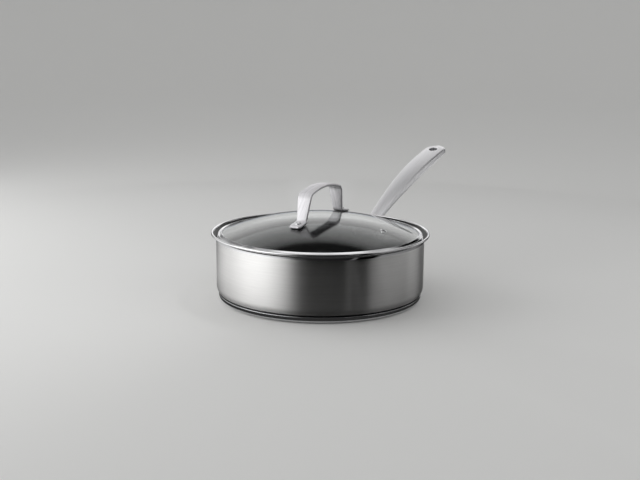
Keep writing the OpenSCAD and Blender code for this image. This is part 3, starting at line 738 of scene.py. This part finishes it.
for x, z, way, across in whole_line:
    from_end = min(1.0, math.dist((abs(x), z), foot_tip)/strap_edge_r)
    thickness = strap_t - 2*strap_edge_r*(1 - math.sqrt(1 - (1 - from_end)**2))
    ring = []
    for side_way, through in round_box(2*across, thickness, min(strap_edge_r, 0.45*thickness), 4):
        u, v = x - through*math.sin(way), z + through*math.cos(way)
        ring.append((u*math.cos(strap_turn) - side_way*math.sin(strap_turn),
                     u*math.sin(strap_turn) + side_way*math.cos(strap_turn), v))
    strap_rings.append(ring)
strap_steel = brushed_metal("strap steel", (0.84, 0.83, 0.85), 0.5, lay="along", drag=0.75, grain=4.5,
                            turn=0.0)
strap = smooth(loft("lid_strap", strap_rings, strap_steel), 40)
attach(strap, "lid")
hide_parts("lid_handle")

# The lid's fixings: at each foot a domed rivet goes through the strap, a rubber pad, the glass, a rubber bush
# with a flange under the glass, and a steel washer, and its tail is closed under the washer.
rubber, paint, place = new_material("black rubber")
moulded = noise(paint, place, 900.0, 4.0)
coat(paint, {"Base Color": (0.022, 0.022, 0.023, 1.0), "Roughness": ranged(paint, moulded, 0.5, 0.72),
             "Normal": bumps(paint, moulded, 0.3, 0.0001)})
finish_cad("lid_upper_gaskets", rubber)
finish_cad("lid_lower_gaskets", rubber)
finish_cad("lid_washers", rivet_steel)
washer_t, lid_head_d, lid_head_h, lid_tail_d, lid_tail_h = 1.0, 6.8, 2.2, 8.0, 1.4
grip = strap_t + 2*gasket_t + glass_t + 2*fit_gap + washer_t
lid_rivet_sizes = {**metres({"Shank diameter": rivet_d, "Grip": grip, "Head diameter": lid_head_d,
                             "Head height": lid_head_h, "Tail diameter": lid_tail_d,
                             "Tail height": lid_tail_h}), "Steps round": rivet_steps}
places = []
for half_turn in (0.0, math.pi):
    way = Vector((math.sin(foot_tilt)*math.cos(strap_turn + half_turn),
                  math.sin(foot_tilt)*math.sin(strap_turn + half_turn), math.cos(foot_tilt)))
    places.append((way*(dome_r + gasket_t + strap_t) + Vector((0.0, 0.0, dome_z)), way))
lid_rivets = rivets("strap_rivets", lid_rivet_sizes, places, rivet_steel)
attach(lid_rivets, "lid")
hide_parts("lid_rivets")

# The steam vent: a small steel eyelet, closed over both faces of the glass.
finish_cad("vent_eyelet", rivet_steel)

# The studio: a pale floor that curves up all round, a soft lamp on each side, and glowing screens that only the
# steel and the glass mirror. Places are given as the camera sees the pan: to the right of its axis, away from
# the camera, and up.
view_turn, view_rise = math.radians(-60.0), math.radians(11.98)
look_at, camera_distance = Vector((-0.00016, 0.00028, 0.06767)), 1.2332
camera_lens, camera_roll = 59.36, math.radians(0.503)
floor_flat_r, floor_bend_r, floor_top, spokes = 3.0, 2.0, 3.0, 96


def seen(right, away, up):
    """A place as the camera sees it, in millimetres, turned into the pan's own frame in metres."""
    return Vector((right*math.cos(view_turn) - away*math.sin(view_turn),
                   right*math.sin(view_turn) + away*math.cos(view_turn), up))/1000


def staged(name, mesh, material):
    """An object of the studio, which isn't part of the pan."""
    mesh.materials.append(material)
    made = bpy.data.objects.new(name, mesh)
    bpy.context.scene.collection.objects.link(made)
    return made


floor_paint, paint, _ = new_material("floor paint")
coat(paint, {"Base Color": (0.80, 0.80, 0.79, 1.0), "Roughness": 0.9})
sweep = [(1.0, 0.0), (floor_flat_r, 0.0)]
sweep += [(floor_flat_r + floor_bend_r*math.sin(t), floor_bend_r - floor_bend_r*math.cos(t))
          for t in quarter_turn(12)[1:]]
sweep.append((floor_flat_r + floor_bend_r, floor_top))
points = [(r*math.cos(2*math.pi*i/spokes), r*math.sin(2*math.pi*i/spokes), z)
          for i in range(spokes) for r, z in sweep] + [(0.0, 0.0, 0.0)]
reach = len(sweep)
faces = [(i*reach, (i + 1)%spokes*reach, len(points) - 1) for i in range(spokes)]
faces += [(i*reach + j, i*reach + j + 1, (i + 1)%spokes*reach + j + 1, (i + 1)%spokes*reach + j)
          for i in range(spokes) for j in range(reach - 1)]
floor_mesh = bpy.data.meshes.new("floor")
floor_mesh.from_pydata(points, [], faces)
floor_mesh.shade_smooth()
staged("floor", floor_mesh, floor_paint)

glow, paint, _ = new_material("screen glow")
painted = node(paint, "ShaderNodeAttribute", attribute_name="glow").outputs["Color"]
node(paint, "ShaderNodeOutputMaterial",
     {"Surface": node(paint, "ShaderNodeEmission", {"Color": painted, "Strength": 1.0}).outputs[0]})


def screen(name, section, around, tint=(1.0, 1.0, 1.0), through_glass=False):
    """A glowing screen round the pan that only gloss mirrors: it makes the dark and bright parts of what the
    steel and the glass show. section lists [radius, up, share of the glow], and around lists [bearing, glow].
    The bearing is 0 towards the camera and grows to the right."""
    columns = []
    for (start, low), (end, high) in zip(around, around[1:]):
        steps = math.ceil((end - start)/3)
        columns += [(start + (end - start)*i/steps, low + (high - low)*i/steps) for i in range(steps)]
    columns.append(around[-1])
    points, colours = [], []
    for bearing, strength in columns:
        b = math.radians(bearing)
        points += [seen(radius*math.sin(b), -radius*math.cos(b), up) for radius, up, _ in section]
        colours += [(*(strength*share*part for part in tint), 1.0) for _, _, share in section]
    rows = len(section)
    faces = [(i*rows + j, i*rows + j + 1, (i + 1)*rows + j + 1, (i + 1)*rows + j)
             for i in range(len(columns) - 1) for j in range(rows - 1)]
    mesh = bpy.data.meshes.new(name)
    mesh.from_pydata(points, [], faces)
    painted_on = mesh.attributes.new("glow", "FLOAT_COLOR", "POINT")
    for item, colour in zip(painted_on.data, colours):
        item.color = colour
    made = staged(name, mesh, glow)
    made.visible_camera = made.visible_diffuse = made.visible_shadow = False
    made.visible_transmission = through_glass


sides = [(-150, 0.1), (-141, 0.5), (-130, 0.95), (-110, 1.4), (-75, 2.4), (-55, 2.6), (-43, 2.1), (-34, 1.45),
         (-26, 0.6), (-20, 0.16), (-10, 0.04), (26, 0.02), (28, 0.32), (30, 0.3), (31, 0.0), (48, 0.0),
         (54, 0.5), (75, 0.48), (105, 0.42), (124, 0.1), (138, 0.0), (150, 0.0)]
cool = (0.95, 0.98, 1.05)
screen("near floor screen", [(119, 1, 1), (165, 1, 1)], [(-180, 0.035), (180, 0.035)])
screen("floor screen", [(165, 1, 0.4), (300, 1, 0.55), (900, 1, 0.55)], sides)
screen("side screen", [(900, 0, 1), (900, 350, 1), (900, 550, 0.3), (900, 1100, 0.15)], sides)
screen("far right floor screen", [(540, 2, 0.3), (620, 2, 1), (895, 2, 1)],
       [(75, 0.6), (95, 1.3), (138, 1.3), (150, 0.9)])
screen("right screen", [(895, 140, 0.2), (895, 190, 1), (895, 340, 1), (895, 400, 0.1)],
       [(98, 0.1), (108, 1.05), (124, 1.05), (135, 0.2)])
screen("high right screen", [(895, 700, 0.1), (895, 800, 0.8), (895, 1100, 1)],
       [(85, 0.3), (95, 0.7), (116, 0.7), (128, 0.05)])
screen("back floor screen", [(165, 1, 1), (900, 1, 1)],
       [(150, 0.04), (175, 0.04), (177, 0.6), (183, 0.6), (185, 0.04), (210, 0.04)], cool)
screen("low back screen", [(900, 0, 0.05), (900, 60, 0.2), (900, 100, 0.5), (900, 140, 0.7)],
       [(150, 0.5), (156, 1.0), (204, 1.0), (210, 0.5)], cool)
screen("back screen", [(890, 140, 0.7), (890, 200, 0.9), (890, 280, 1.3), (890, 380, 1.3), (890, 520, 0.95)],
       [(146, 0.2), (153, 1.0), (204, 1.0), (210, 0.3)])
screen("high back screen", [(890, 520, 0.95), (890, 600, 0.82), (890, 720, 0.68), (890, 880, 0.57),
                            (890, 985, 0.4), (890, 1060, 0.22), (890, 1100, 0.06)],
       [(146, 0.1), (152, 0.4), (158, 1.0), (202, 1.0), (210, 1.2)], through_glass=True)
screen("back top screen", [(0, 1100, 1.2), (260, 1100, 1.2), (340, 1100, 0.1), (560, 1100, 0.4),
                           (700, 1100, 0.04), (900, 1100, 0.04)],
       [(150, 1.0), (205, 1.0)], through_glass=True)
screen("left back top screen", [(0, 1100, 1.2), (340, 1100, 0.9), (900, 1100, 0.7)],
       [(205, 0.9), (215, 1.0)], through_glass=True)
screen("top screen", [(0, 1100, 1.2), (420, 1100, 1.2), (620, 1100, 0.5), (900, 1100, 0.5)],
       [(-145, 1.0), (-60, 1.0), (-30, 0.8), (50, 0.8), (80, 1.0), (150, 1.0)], through_glass=True)


def lamp(name, place, target, width, height, power):
    """A soft lamp that faces a target. Its width and height are in metres and its power is in watts."""
    light = bpy.data.lights.new(name, "AREA")
    light.shape, light.size, light.size_y, light.energy = "RECTANGLE", width, height, power
    made = bpy.data.objects.new(name, light)
    made.location = seen(*place)
    made.visible_camera = False
    made.rotation_mode = "QUATERNION"
    made.rotation_quaternion = (seen(*target) - seen(*place)).to_track_quat("-Z", "Y")
    bpy.context.scene.collection.objects.link(made)


lamp("left softbox", (-950, 80, 420), (0, 0, 60), 1.3, 0.9, 5.0)
lamp("right fill", (900, -300, 700), (0, 0, 60), 0.8, 0.8, 1.2)
world = bpy.data.worlds.new("studio")
world.use_nodes = True
world.node_tree.nodes["Background"].inputs["Color"].default_value = (1.0, 1.0, 1.0, 1.0)
world.node_tree.nodes["Background"].inputs["Strength"].default_value = 0.55
bpy.context.scene.world = world

camera = bpy.data.objects.new("camera", bpy.data.cameras.new("camera"))
camera.data.lens, camera.data.sensor_width = camera_lens, 36.0
back = Vector((math.sin(view_turn)*math.cos(view_rise), -math.cos(view_turn)*math.cos(view_rise),
               math.sin(view_rise)))
camera.location = look_at + back*camera_distance
camera.rotation_mode = "QUATERNION"
camera.rotation_quaternion = (-back).to_track_quat("-Z", "Y") @ Quaternion((0, 0, 1), camera_roll)
bpy.context.scene.collection.objects.link(camera)
bpy.context.scene.camera = camera
bpy.context.scene.view_settings.view_transform = "Standard"
